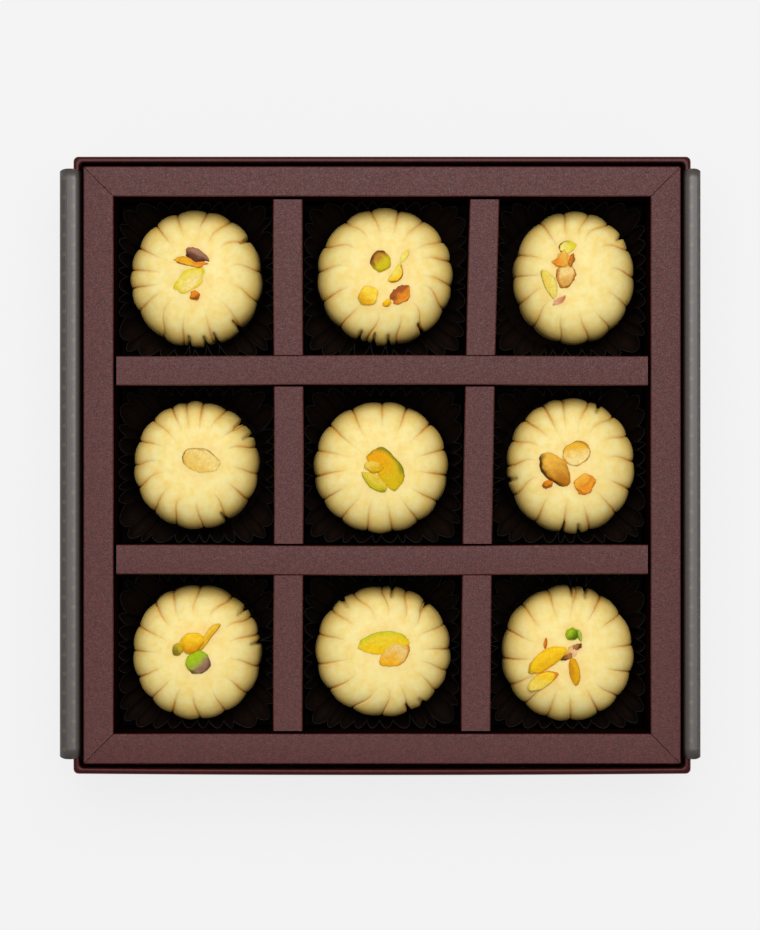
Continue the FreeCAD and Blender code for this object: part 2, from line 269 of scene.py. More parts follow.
sweetDough = sweetMaterial({
    "name": "moulded_milk_sweet", "cream": "#FEEAA2", "butter": "#FAD772", "brown": "#A87838",
    "nutTint": ("#F6C878", 0.4), "side": ("#F3BE40", 0.62), "crease": ("#DE9C28", 0.62),  # tint, and its most; the side and crease tints are painted shade
    "patch": 2.6, "grain": 0.5, "speckSpacing": 2.6, "speck": 0.05, "speckShare": 0.4,
    "glow": 0.35, "glowDepth": (2.4, 1.5, 0.5), "ior": 1.45, "shine": 0.28,
    "roughness": (0.46, 0.62), "bump": 0.14})


def nutMaterial(look):
    # cut pistachio: oily flesh and papery skin; each piece carries its own tints on its points
    material, tree, shader = newMaterial(look)
    coords = addNode(tree, "TexCoord").outputs["Object"]
    tint = addNode(tree, "Attribute", attribute_name="tint")
    streaks = addNode(tree, "TexNoise", {
        "Vector": coords, "Scale": 1 / (look["streak"] * mm), "Detail": 5.0, "Roughness": 0.65,
        "Distortion": 1.2})
    shade = addNode(tree, "MapRange", {
        "Value": streaks.outputs[0], "From Min": 0.4, "From Max": 0.75, "To Max": look["streakShare"]})
    color = addNode(tree, "Mix", {
        0: shade.outputs[0], 6: tint.outputs["Color"], 7: hexColor(look["shade"])}, data_type="RGBA",
        blend_type="MULTIPLY")
    finishSurface(tree, shader, look, color, streaks, streaks, strength=0.7)
    return material


nutFlesh = nutMaterial({
    "name": "cut_pistachio", "shade": "#D9A85C", "streak": 0.9, "streakShare": 0.5, "glow": 0.08,
    "glowDepth": (0.6, 0.5, 0.1), "ior": 1.47, "shine": 0.06, "roughness": (0.34, 0.5), "bump": 0.2})
print("materials made")


def finishPiece(name, shape, material, body, nodes=(), sharpDeg=None, wallMaterial=None):
    mesh = bpy.data.meshes.new(name)
    shape.to_mesh(mesh)
    shape.free()
    mesh.materials.append(material)
    if wallMaterial:
        mesh.materials.append(wallMaterial)
    mesh.shade_smooth()
    if sharpDeg:
        mesh.set_sharp_from_angle(angle=math.radians(sharpDeg))
    piece = bpy.data.objects.new(name, mesh)
    bpy.context.scene.collection.objects.link(piece)
    if nodes:
        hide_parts(*nodes)
    if body:
        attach(piece, body)
    return piece


# Steps that several pieces share
slack = {"merge": 0.002, "cut": 0.001}  # mm, within which points are joined and a cut goes through a point


def copyNode(name):
    # a CAD node's mesh, with its loose triangles joined
    shape = bmesh.new()
    shape.from_mesh(frame["nodes"][name].data)
    bmesh.ops.remove_doubles(shape, verts=shape.verts[:], dist=slack["merge"] * mm)
    return shape


def cutAt(shape, place, normal):
    whole = shape.verts[:] + shape.edges[:] + shape.faces[:]
    bmesh.ops.bisect_plane(shape, geom=whole, dist=slack["cut"] * mm, plane_co=place, plane_no=normal)


def cutLengths(shape, along, half, count):
    # cuts a piece into equal lengths along X or Y
    normal = Vector((1 - along, along, 0))
    for i in range(1, count):
        cutAt(shape, normal * (half * (2 * i / count - 1)), normal)


def extrudeRing(shape, ring):
    # the new edges and points still lie on the old ones
    made = bmesh.ops.extrude_edge_only(shape, edges=ring)["geom"]
    edges = [part for part in made if isinstance(part, bmesh.types.BMEdge)]
    verts = [part for part in made if isinstance(part, bmesh.types.BMVert)]
    return edges, verts


def thicken(piece, paper, offset=0.0):
    # gives a sheet its paper in mm, half to each side; an offset of -1 has all of it inside
    wall = piece.modifiers.new("paper", "SOLIDIFY")
    wall.thickness = paper * mm
    wall.offset = offset


def quarterTurns(steps):
    return [math.pi / 2 * i / steps for i in range(steps + 1)]


# CAD nodes that keep their shape
nodeLooks = {
    "tray_floor": blackCard, "base_bottom_sheet": wrapPaper, "base_floor_board": greyBoard,
    "floor_lining": liningPaper,
}
for nodeName, material in nodeLooks.items():
    node = frame["nodes"][nodeName]
    node.data.materials.clear()
    node.data.materials.append(material)
print("tray floor, floor of the base and its lining dressed")


# Walls: boards crushed along the outer top edge, and the wrap pasted round them, over the top and down inside
wallLook = {
    "bow": {"left": 0.35, "right": 0.35, "front": 0.4, "back": 0.02},  # mm, the walls belly outwards
    "bowEdge": (0.97, 1.0),     # shares of the half width between which the wrap follows the belly
    "outerRound": (0.95, 1.0),  # mm across the wall top and down the wall
    "innerRound": 0.4,          # mm
    "roundSteps": 7,
    "cornerReach": 1.5, "cornerDrop": 0.8,  # mm; at the corners the boards are crushed down, by this share
    "corner": 1.3,              # mm, on the upright corners
    "cornerSteps": 6,
    "lengths": 16,              # that each wall is cut into
    "turnIn": 15.0,             # mm, paper turned down inside
    "paper": 0.18,              # mm
    "sharpDeg": 30,
}
wallHalf, wallTop = boxes["base_wrap"][1].x, boxes["base_wrap"][1].z


def wallBelly(place, height, look):
    # how far the wall nearest to this place has moved out
    if abs(place.x) > abs(place.y):
        side, along = "right" if place.x > 0 else "left", place.y
    else:
        side, along = "back" if place.y > 0 else "front", place.x
    return look["bow"][side] * mm * (1 - (along / wallHalf) ** 2) * height / wallTop


def crushSize(look):
    # how far in and how far down the board under the wrap is crushed
    return [size * mm - look["paper"] * mm for size in look["outerRound"]]


def crushTop(vert, top, look):
    # how far in this point goes; at a corner it goes down instead
    inward, down = crushSize(look)
    if vert.co.z < top - down / 2:
        return 0.0
    if min(abs(vert.co.x), abs(vert.co.y)) > wallHalf - look["cornerReach"] * mm:
        vert.co.z -= look["cornerDrop"] * down
        return 0.0
    return inward


def makeBoard(side, look):
    name = f"base_{side}_board"
    low, high = boxes[name]
    across = 0 if side in ("left", "right") else 1
    outward = -1 if side in ("left", "front") else 1
    inward, down = crushSize(look)
    shape = copyNode(name)
    cutAt(shape, (0, 0, high.z - down), (0, 0, 1))
    cutLengths(shape, 1 - across, wallHalf, look["lengths"])
    face = (high if outward > 0 else low)[across]
    for vert in shape.verts:
        belly = wallBelly(vert.co, vert.co.z, look)
        inset = crushTop(vert, high.z, look)
        if abs(vert.co[across] - face) < inward / 2:
            vert.co[across] -= outward * inset
        vert.co[across] += outward * belly
    finishPiece(name + "_pulp", shape, greyBoard, "base", [name], look["sharpDeg"])


def makeStays(look):
    # the gummed corners follow the crushed edge of the boards
    top = boxes["corner_stays"][1].z
    shape = copyNode("corner_stays")
    cutAt(shape, (0, 0, top - crushSize(look)[1]), (0, 0, 1))
    for vert in shape.verts:
        belly = wallBelly(vert.co, vert.co.z, look)
        scale = (wallHalf - crushTop(vert, top, look) + belly) / wallHalf
        vert.co.x *= scale
        vert.co.y *= scale
    finishPiece("corner_stays_kraft", shape, stayPaper, "base", ["corner_stays"],
                look["sharpDeg"])


def wrapSection(look):
    # how far in and how high the paper stands: up the wall, over its top and down inside
    wall = wallHalf - boxes["base_right_board"][0].x + look["paper"] * mm
    outer, down = (size * mm for size in look["outerRound"])
    inner = look["innerRound"] * mm
    turns = quarterTurns(look["roundSteps"])
    section = [(0.0, boxes["base_wrap"][0].z)]
    section += [(outer * (1 - math.cos(turn)), wallTop - down * (1 - math.sin(turn))) for turn in turns]
    section += [(wall - inner * (1 - math.sin(turn)), wallTop - inner * (1 - math.cos(turn)))
                for turn in turns]
    return section + [(wall, wallTop - look["turnIn"] * mm)]


def makeWrap(look):
    section = wrapSection(look)
    shape = bmesh.new()
    bmesh.ops.create_grid(shape, x_segments=1, y_segments=1, size=wallHalf)
    bmesh.ops.bevel(shape, geom=shape.verts[:], offset=look["corner"] * mm, segments=look["cornerSteps"],
                    profile=0.5, affect="VERTICES", material=-1)
    bmesh.ops.delete(shape, geom=shape.faces[:], context="FACES_ONLY")
    walls = [edge for edge in shape.edges if edge.calc_length() > wallHalf]
    bmesh.ops.subdivide_edges(shape, edges=walls, cuts=look["lengths"] - 1)
    station = shape.verts.layers.int.new("station")
    ring = shape.edges[:]
    for number in range(1, len(section)):
        ring, verts = extrudeRing(shape, ring)
        for vert in verts:
            vert[station] = number
    for vert in shape.verts:
        inset, height = section[vert[station]]
        across = max(abs(vert.co.x), abs(vert.co.y))
        belly = wallBelly(vert.co, height, look) * smooth(*look["bowEdge"], across / wallHalf)
        scale = (wallHalf - inset + belly) / wallHalf
        vert.co = (vert.co.x * scale, vert.co.y * scale, height)
    bmesh.ops.recalc_face_normals(shape, faces=shape.faces[:])
    wrap = finishPiece("base_wrap_paper", shape, wrapPaper, "base", ["base_wrap"])
    thicken(wrap, look["paper"], -1.0)


for side in wallLook["bow"]:
    makeBoard(side, wallLook)
makeStays(wallLook)
makeWrap(wallLook)
print("boards, stays and wrap made")


# Folded card: soft folds along the top, and the walls in the cells painted dark as shade
foldLook = {
    "flatDeg": 1,           # faces that meet at less are joined
    "straightShare": 0.99,  # of its length, that a fold runs along the channel
    "sharp": 1.0,           # radians between the faces of a fold
    "slack": 0.01,          # mm, below the top
    "shadeTop": 34.2, "cellsEnd": 76.0,  # mm: below this height, and within this distance from the middle of the box, the walls are painted shade
}


def roundFolds(shape, along, top, size, segments, look):
    bmesh.ops.dissolve_limit(shape, angle_limit=math.radians(look["flatDeg"]), verts=shape.verts[:],
                             edges=shape.edges[:])
    folds = []
    for edge in shape.edges:
        ends = [vert.co for vert in edge.verts]
        straight = abs((ends[1] - ends[0]).normalized()[along]) > look["straightShare"]
        onTop = min(end.z for end in ends) > top - look["slack"] * mm
        if straight and onTop and edge.calc_face_angle(0) > look["sharp"]:
            folds.append(edge)
    bmesh.ops.bevel(shape, geom=folds, offset=size * mm, segments=segments, profile=0.5, affect="EDGES",
                    material=-1)


def markWalls(shape, look):
    # the walls of the cells, below the folds, get the second material, dark card that is painted shade
    for face in shape.faces:
        middle = face.calc_center_median()
        inCell = max(abs(middle.x), abs(middle.y)) < look["cellsEnd"] * mm
        face.material_index = 1 if inCell and middle.z < look["shadeTop"] * mm else 0


# Tray rails: card channels with soft folds
railLook = {"fold": 0.6, "segments": 5, "sharpDeg": 40}  # fold in mm


def makeRail(side, look):
    name = f"tray_{side}_rail"
    along = 1 if side in ("left", "right") else 0
    shape = copyNode(name)
    roundFolds(shape, along, boxes[name][1].z, look["fold"], look["segments"], foldLook)
    markWalls(shape, foldLook)
    finishPiece(name + "_card", shape, trayCard, "tray", [name], look["sharpDeg"], shadedWallCard)


for side in ("left", "right", "front", "back"):
    makeRail(side, railLook)
print("tray rails made")


# Egg-crate: folded channels, slightly bowed; the right cross piece stands askew at its back end
crateLook = {
    "lengths": 24,              # that each channel is cut into
    "fold": 0.3, "segments": 3, "sharpDeg": 35,  # fold in mm
    "skew": (0.55, 1.2, 0.45),  # mm, at the middle, with the share of the length, with its square
    "skewReach": 34.0,          # mm, how far to each side the neighbours give way
    "skewFade": (0.2, 1.0),     # shares of that reach
    "bow": {"long_divider_back": 0.25, "long_divider_front": -0.3, "cross_divider_left": 0.3,
            "cross_divider_right": 0.0},  # mm
    "bowTurn": 2,               # radians of a wave from the middle to an end
}
crateHalf = boxes["long_divider_back"][1].x
crossPlace = sum((corner.x for corner in boxes["cross_divider_right"]), 0.0) / 2


def crateSkew(x, y):
    middle, slope, curve = crateLook["skew"]
    share = y / crateHalf
    give = 1 - smooth(*crateLook["skewFade"], abs(x - crossPlace) / (crateLook["skewReach"] * mm))
    return (middle + slope * share + curve * share * share) * mm * give


def makeDivider(name, look):
    along = 0 if name.startswith("long") else 1
    shape = copyNode(name)
    roundFolds(shape, along, boxes[name][1].z, look["fold"], look["segments"], foldLook)
    cutLengths(shape, along, crateHalf, look["lengths"])
    for vert in shape.verts:
        share = vert.co[along] / crateHalf
        vert.co[1 - along] += look["bow"][name] * mm * (1 - share * share) * math.cos(look["bowTurn"] * share)
        vert.co.x += crateSkew(vert.co.x, vert.co.y)
    markWalls(shape, foldLook)
    finishPiece(name + "_card", shape, trayCard, "divider", [name], look["sharpDeg"], shadedWallCard)


for dividerName in crateLook["bow"]:
    makeDivider(dividerName, crateLook)
print("egg-crate made")


# The nine places, from the back left along each row. Offsets in mm and sizes as shares are of the
# sweet in its cell; a crease is its angle at the edge and how far it slants on its way in, in degrees;
# a press is the angle of a cup fold that has dented the side.
places = [
    {"offset": (-0.1, 0.3), "size": (1.01, 1.05),
     "creases": ((6, 10), (34, 13), (58, 9), (80, 5), (107, 0), (128, 0), (153, 0), (173, 0), (189, 2),
                 (209, -4), (240, -15), (259, -5), (286, 0), (314, 4), (340, 8)),
     "presses": (36, 264, 279, 289, 312)},
    {"offset": (0.8, 0.9), "size": (1.04, 1.05),
     "creases": ((13, 9), (31, 7), (55, 6), (78, 0), (102, -5), (126, -10), (154, -14), (176, -8), (202, -3),
                 (228, 2), (254, 8), (280, 11), (304, 12), (331, 14), (352, 6)),
     "presses": (247, 260, 273, 304)},
    {"offset": (1.7, 0.6), "size": (0.93, 1.02),
     "creases": ((0, 10), (25, 19), (55, 17), (76, 10), (100, 4), (124, 0), (160, -4), (180, 0), (204, -5),
                 (228, -7), (257, -9), (284, -6), (307, -5), (333, 3)),
     "presses": (38,)},
    {"offset": (-0.1, 0.0), "size": (0.96, 0.98),
     "creases": ((17, 8), (40, 4), (61, 5), (83, 0), (99, 0), (113, -1), (134, -4), (157, -5), (180, -6),
                 (201, -8), (227, -6), (251, -7), (277, -5), (301, 4), (327, 4), (352, 4)),
     "presses": (28, 43, 299)},
    {"offset": (-0.3, -0.6), "size": (1.03, 1.01),
     "creases": ((16, 0), (42, -1), (67, -2), (89, -1), (116, 2), (140, 2), (165, -2), (188, -2), (210, 0),
                 (233, 1), (258, -3), (280, 0), (304, -2), (328, -3), (353, 0)),
     "presses": ()},
    {"offset": (0.9, -0.2), "size": (0.98, 1.04),
     "creases": ((4, 8), (27, 9), (48, 12), (74, 6), (98, 2), (116, 0), (137, -4), (158, -7), (180, -8),
                 (206, -9), (236, -5), (262, -1), (287, 0), (315, 0), (339, 1)),
     "presses": (64, 192, 262, 277)},
    {"offset": (0.1, -0.5), "size": (0.985, 1.03),
     "creases": ((16, 3), (32, 8), (57, 11), (87, 7), (112, 5), (131, 4), (156, 0), (178, 0), (202, 0),
                 (224, 1), (247, -2), (273, -7), (297, -2), (322, 2), (348, 4)),
     "presses": (9, 41)},
    {"offset": (0.3, -0.3), "size": (1.04, 1.0),
     "creases": ((3, 2), (25, 2), (52, -11), (70, -11), (91, -9), (116, -12), (140, -4), (164, -3), (191, 0),
                 (216, 4), (242, 14), (269, 10), (293, 4), (323, 5), (343, 4)),
     "presses": (49, 82, 127, 293, 307)},
    {"offset": (0.1, -0.8), "size": (1.01, 1.04),
     "creases": ((8, 1), (37, 2), (60, 0), (83, 4), (108, 2), (134, 4), (159, 2), (184, 2), (208, 1),
                 (228, 1), (251, -1), (272, -1), (298, -1), (320, -6), (344, -3)),
     "presses": (74, 87)},
]


def cellMiddle(number):
    low, high = boxes[f"paper_cup_{number}"]
    return (low + high) / 2


# Nut pieces on each sweet: px is the middle in the photograph; size is length, width and rise in mm;
# turns are in degrees from the right, seen from above. The flesh shades into its tone on the side that the
# tone's turn points to. The skin or cut edge, rim, shows all round, or only on the side of its own turn.
# pinch draws one end to a point, blunt fills out both, bend curls the piece, flat is where its cut face lies.
green, lemon, yellow, cream, gold = "#8FB014", "#F4E05A", "#FFD01A", "#FAE694", "#F2B820"
orange, rust, tan, bark = "#EE9426", "#B8661A", "#E4AE50", "#643A1C"
nuts = {
    1: [
        dict(px=(191, 261.5), size=(8.4, 2.8, 0.9), turn=-10, flat=0.3, jag=0.45, pinch=0.4,
             flesh=orange, tone=(gold, 200), rim=(rust, 280)),
        dict(px=(197, 255.5), size=(7.2, 3.6, 1.8), turn=-26, flat=0.4, jag=0.4, pinch=0.8,
             flesh="#623A2A", tone=("#A87A60", 80), rim=(bark, 250)),
        dict(px=(190, 280), size=(9.8, 5.8, 1.5), turn=38, flat=0.2, pinch=0.25, edge=(0.6, 0.95),
             flesh=cream, tone=(lemon, 130), rim=("#EAD21C", None)),
        dict(px=(195, 295.5), size=(3.0, 2.6, 1.6), turn=20, flat=1.5, jag=0.4,
             flesh=orange, tone=(rust, 300)),
    ],
    2: [
        dict(px=(380.5, 261), size=(6.0, 5.6, 2.6), turn=80, flat=0.6,
             flesh="#D6C61A", tone=("#C08A2C", 125), rim=("#7A4A20", 125), edge=(0.55, 0.9)),
        dict(px=(405, 255.5), size=(4.2, 1.7, 1.0), turn=55, flat=0.6, pinch=0.4,
             flesh="#F6EA72", tone=(lemon, 0)),
        dict(px=(396.5, 274), size=(6.2, 3.0, 2.0), turn=57, flat=0.5, bend=0.7, pinch=0.2,
             flesh=lemon, tone=(yellow, 300), rim=(rust, -33), edge=(0.55, 0.9)),
        dict(px=(368, 296), size=(5.6, 5.2, 2.0), turn=40, flat=0.5,
             flesh="#FFDC46", tone=(gold, 230)),
        dict(px=(401, 295), size=(6.2, 4.8, 1.6), turn=50, flat=0.4, jag=0.5, pinch=0.6,
             flesh=orange, tone=("#A85A2A", 140), rim=(rust, 210)),
        dict(px=(387, 303), size=(2.6, 1.9, 1.2), turn=30, flat=1.5,
             flesh=yellow, tone=(gold, 270)),
    ],
    3: [
        dict(px=(567.5, 247), size=(5.0, 3.4, 1.6), turn=14, flat=0.4, pinch=0.3,
             flesh="#F6E878", tone=("#E6DA2E", 20), rim=(bark, 180)),
        dict(px=(561.5, 260), size=(5.2, 4.0, 1.8), turn=50, flat=0.5, bend=0.5, jag=0.35,
             flesh="#F4BE4E", tone=(orange, 220)),
        dict(px=(571.5, 260), size=(3.4, 1.7, 1.7), turn=70, flat=0.7, jag=0.4,
             flesh="#D98A2C", tone=(rust, 0), rim=(bark, 0)),
        dict(px=(566, 276), size=(6.4, 5.4, 2.4), turn=75, flat=0.3, jag=0.25, edge=(0.68, 0.95),
             flesh="#F8D888", tone=(tan, 280), rim=("#B87420", None)),
        dict(px=(549.5, 284), size=(8.2, 3.4, 1.8), turn=-68, flat=0.4, bend=-0.3, pinch=0.25,
             flesh="#F4D85E", tone=("#F0E070", 0), rim=("#CDBA24", 200)),
        dict(px=(560, 300), size=(3.6, 1.5, 0.5), turn=28, flat=0.4, jag=0.5,
             flesh="#E8B088", tone=("#D08A5C", 0)),
    ],
    4: [
        dict(px=(201.5, 461), size=(10.8, 6.4, 2.4), turn=-14, flat=0.2, pinch=0.2, edge=(0.86, 1.0),
             flesh="#F8DC84", tone=("#F0CA62", 215), rim=("#8A5A2C", 110)),
    ],
    5: [
        dict(px=(386, 467), size=(12.8, 7.0, 2.4), turn=-51, flat=0.3, bend=-0.3, pinch=0.0, blunt=0.45,
             edge=(0.6, 0.95), flesh="#F2AE08", tone=("#DDBE12", -51), rim=("#8E8C12", 60)),
        dict(px=(374.3, 467), size=(5.4, 3.5, 2.6), turn=-12, flat=0.5, pinch=0.5,
             flesh="#E6B814", tone=("#F0D252", 130), rim=("#BE8E16", -40)),
        dict(px=(374, 481.7), size=(8.0, 3.9, 2.0), turn=142, flat=0.4, pinch=0.5,
             flesh="#E6CC44", tone=("#CCC01A", 250), rim=("#A8A81A", 240)),
    ],
    6: [
        dict(px=(555, 469), size=(10.8, 6.4, 2.8), turn=-50, flat=0.5, pinch=0.05, edge=(0.7, 0.95),
             flesh="#F0BA44", tone=("#C07C1A", 300), rim=("#5E3816", 205)),
        dict(px=(576.5, 453.5), size=(7.9, 6.8, 1.8), turn=15, flat=0.25, pinch=0.0,
             flesh="#FBE494", tone=("#F2BC2C", 100), rim=("#C88A2E", None)),
        dict(px=(585, 482.5), size=(6.0, 5.2, 2.0), turn=35, flat=0.5, jag=0.4,
             flesh="#F29A26", tone=("#F8BC40", 120)),
        dict(px=(547.5, 484), size=(3.2, 2.2, 1.3), turn=30, flat=1.5, jag=0.45,
             flesh=orange, tone=(rust, 250)),
    ],
    7: [
        # the darker tone on this piece's front side is painted shade
        dict(px=(192, 643), size=(6.8, 5.6, 2.8), turn=20, flat=0.7, pinch=0.1,
             flesh="#FFD024", tone=("#E69E10", 275)),
        dict(px=(209, 636), size=(8.8, 2.0, 1.5), turn=54, flat=0.7, bend=-0.7, pinch=-0.3,
             flesh="#F6CA3A", tone=("#E8B428", -40), rim=("#C8901E", -40)),
        dict(px=(177.5, 649.5), size=(3.8, 2.9, 1.7), turn=65, flat=0.7,
             flesh="#C2AE24", tone=("#8C7A20", 230)),
        dict(px=(198, 662.5), size=(6.8, 6.2, 2.7), turn=10, flat=0.5,
             flesh="#A6C618", tone=("#96705C", -40), rim=("#7C5442", -60)),
    ],
    8: [
        dict(px=(385, 643), size=(13.8, 6.2, 1.8), turn=5, flat=0.3, pinch=0.2, edge=(0.6, 0.95),
             flesh="#F6CE16", tone=("#F0D636", 110), rim=("#CCCE1E", 95)),
        dict(px=(394.5, 655), size=(9.4, 6.0, 2.0), turn=215, flat=0.4, pinch=0.3, edge=(0.7, 0.95),
             flesh="#F0CE7A", tone=("#F8BA26", 235), rim=("#E29A28", 20)),
    ],
    9: [
        dict(px=(572, 634), size=(3.7, 3.5, 2.2), turn=15, flat=0.8,
             flesh="#A8C81E", tone=("#648218", 320)),
        dict(px=(579.5, 635.5), size=(3.6, 1.3, 1.2), turn=-76, flat=0.8, pinch=0.3,
             flesh="#B8CC58", tone=(green, 180)),
        dict(px=(577, 647), size=(3.2, 1.5, 1.3), turn=20, flat=0.7, jag=0.45,
             flesh="#B8804A", tone=(bark, 0)),
        dict(px=(566.5, 657), size=(3.6, 1.6, 1.3), turn=25, flat=0.7, jag=0.45,
             flesh="#BC7C3C", tone=(bark, 220)),
        dict(px=(572, 651.5), size=(3.8, 2.8, 0.8), turn=60, flat=0.4, jag=0.3,
             flesh="#F4CCA0", tone=(tan, 180)),
        dict(px=(546.5, 660), size=(11.8, 4.8, 2.4), turn=33, flat=0.5, bend=-0.3, pinch=0.1,
             flesh="#FFD01E", tone=("#F2BE18", 300)),
        dict(px=(542.5, 681), size=(9.2, 4.0, 2.0), turn=32, flat=0.4, bend=-0.25, pinch=0.0,
             flesh="#FFD42C", tone=("#FADC5E", 230), rim=("#E09022", 60)),
        dict(px=(574.5, 671.5), size=(7.8, 3.0, 1.8), turn=-80, flat=0.6, pinch=0.1,
             flesh="#EEB214", tone=("#D8960E", 180)),
        dict(px=(545.5, 643.5), size=(3.2, 1.0, 0.9), turn=85, flat=1.5,
             flesh=orange, tone=(rust, 0)),
    ],
}


# Sweets: moulded rounds, creased from half way out over the shoulder and down the side
sweetLook = {
    "waist": 0.46,          # height of the widest ring, of the whole
    "foot": 0.80,           # radius of the underside, of the widest ring
    "roundness": 0.58,      # 1 is an ellipse; less is flatter on top and fuller at the shoulder
    "crownRings": 24, "sideRings": 10, "footRings": 4,
    "lobeSteps": 22, "merge": 0.005,  # mm
    "crowd": 0.12,          # draws the points towards the creases
    "pillow": 0.55, "crease": 0.42, "creaseWidth": 0.24, "valleyWidth": 1.1,  # mm
    "pillowPower": 0.8,     # below 1 the lobes are flatter between their creases
    "creaseStart": (0.5, 0.9), "pillowStart": (0.45, 0.95),  # radius shares over which they deepen
    "depths": (0.7, 1.15), "starts": (-0.06, 0.08),  # how far creases differ, in depth and in radius share
    "straighten": (0.62, 1.0),  # radius shares over which the slant of a crease is lost
    "footDepth": 0.5, "footFade": (0.5, 1.0),  # depth left at the underside, and radius shares of its fading
    "press": 1.6, "pressWidth": 0.42,  # mm
    "pressStart": (0.82, 0.95), "pressFade": (0.5, 0.8),  # radius shares on the crown and on the underside
    "lumps": 0.25, "lumpSize": 8.0,   # mm
    "lumpStart": (0.0, 0.3), "lumpStep": 7.3,  # height shares; from one sweet to the next in the noise
    # radius shares over which the side tint, painted shade, comes in
    "edgeShadeStart": (0.74, 1.0),
    "creaseShade": (0.6, 0.4),  # shares of the painted shade along the fine line and over the soft valley
    "nutTintReach": 1.3, "nutTintPower": 4,  # mm, how far round a nut piece the crown is tinted warmer; higher ends more sharply
    "seed": 20,
}


def sweetProfile(radius, height, look):
    waist, power, foot = height * look["waist"], look["roundness"], radius * look["foot"]
    points = [(radius * math.sin(turn) ** power, waist + (height - waist) * max(0.0, math.cos(turn)) ** power)
              for turn in quarterTurns(look["crownRings"])]
    points += [(foot + (radius - foot) * math.cos(turn), waist * (1 - math.sin(turn)))
               for turn in quarterTurns(look["sideRings"])[1:]]
    return points + [(foot * (1 - i / look["footRings"]), 0.0) for i in range(1, look["footRings"] + 1)]


def bell(distance, width):
    return math.exp(-(distance / width) ** 2)


def makeSweet(number, place, look):
    low, high = boxes[f"sweet_{number}"]
    middle = cellMiddle(number) + Vector((*place["offset"], 0)) * mm
    radius, height = (high.x - low.x) / 2, high.z - low.z
    waist, power = height * look["waist"], look["roundness"]
    chance = random.Random(look["seed"] + number)
    creases, steps = place["creases"], look["lobeSteps"]
    around = len(creases) * steps
    depths = [chance.uniform(*look["depths"]) for crease in creases]
    starts = [chance.uniform(*look["starts"]) for crease in creases]
    nutTintSpots = [(photoPoint(*nut["px"], high.z), (sum(nut["size"][:2]) / 4 + look["nutTintReach"]) * mm)
           for nut in nuts[number]]
    shape = bmesh.new()
    outline = [shape.verts.new((r, 0, z)) for r, z in sweetProfile(radius, height, look)]
    edges = [shape.edges.new(pair) for pair in zip(outline, outline[1:])]
    bmesh.ops.spin(shape, geom=outline + edges, cent=(0, 0, 0), axis=(0, 0, 1), angle=2 * math.pi,
                   steps=around, use_merge=True)
    bmesh.ops.remove_doubles(shape, verts=shape.verts[:], dist=look["merge"] * mm)
    bmesh.ops.recalc_face_normals(shape, faces=shape.faces[:])
    creaseShadeLayer = shape.verts.layers.float.new("crease")
    edgeShadeLayer = shape.verts.layers.float.new("side")
    nutTintLayer = shape.verts.layers.float.new("nutTint")

    def creaseAngle(k, share):
        angle, slant = creases[k % len(creases)]
        angle += slant * (1 - smooth(*look["straighten"], share)) + 360 * (k // len(creases))
        return math.radians(angle)

    for vert in shape.verts:
        reach, rise = math.hypot(vert.co.x, vert.co.y), vert.co.z
        crown = rise >= waist
        share = reach / radius if crown else 1.0
        step = round(math.atan2(vert.co.y, vert.co.x) / (2 * math.pi) * around) % around
        lobe, along = step // steps, (step % steps) / steps
        along -= look["crowd"] * math.sin(2 * math.pi * along)
        start = creaseAngle(lobe, share)
        span = creaseAngle(lobe + 1, share) - start
        angle = start + along * span
        near = lobe if along < 0.5 else (lobe + 1) % len(creases)
        gap = min(along, 1 - along) * span * reach / mm
        if crown:
            begin, end = look["creaseStart"]
            deep = smooth(begin + starts[near], end, share) * depths[near]
            full = smooth(*look["pillowStart"], share)
            # outward direction on the round
            out = share ** (2 / power - 1) / radius
            up = ((rise - waist) / (height - waist)) ** (2 / power - 1) / (height - waist)
            size = math.hypot(out, up)
            out, up = out / size, up / size
        else:
            full = look["footDepth"] + (1 - look["footDepth"]) * rise / waist
            full *= smooth(*look["footFade"], reach / radius)
            deep = full * depths[near]
            out, up = 1.0, 0.0
        sink = look["pillow"] * full * (1 - math.sin(math.pi * along) ** look["pillowPower"])
        sink += look["crease"] * deep * bell(gap, look["creaseWidth"])
        lump = noise.noise(vert.co / (look["lumpSize"] * mm) + Vector((number * look["lumpStep"], 0, 0)))
        push = (look["lumps"] * lump * smooth(*look["lumpStart"], rise / height) - sink) * mm
        dent = 0.0
        for press in place["presses"]:
            turn = (angle - math.radians(press) + math.pi) % (2 * math.pi) - math.pi
            dent = max(dent, bell(turn * radius / mm, look["pressWidth"]))
        dent *= look["press"] * mm * smooth(*look["pressStart"], share)
        dent *= smooth(*look["pressFade"], reach / radius)
        reach += push * out - dent
        vert.co = (
            middle.x + reach * math.cos(angle) * place["size"][0],
            middle.y + reach * math.sin(angle) * place["size"][1],
            low.z + rise + push * up,
        )
        # painted shade along each crease and in the valleys between the lobes
        fine, soft = look["creaseShade"]
        tint = fine * bell(gap, look["creaseWidth"]) + soft * bell(gap, look["valleyWidth"])
        vert[creaseShadeLayer] = min(1.0, deep * tint)
        # painted shade: darker and more orange towards the edge of the crown
        vert[edgeShadeLayer] = smooth(*look["edgeShadeStart"], share)
        if crown:
            vert[nutTintLayer] = max(
                math.exp(-((vert.co - spot).xy.length / wide) ** look["nutTintPower"]) for spot, wide in nutTintSpots)
    ground = BVHTree.FromBMesh(shape)
    finishPiece(f"sweet_{number}_round", shape, sweetDough, f"sweet_{number}", [f"sweet_{number}"])
    return ground


grounds = [makeSweet(number, place, sweetLook) for number, place in enumerate(places, 1)]
print("sweets made")


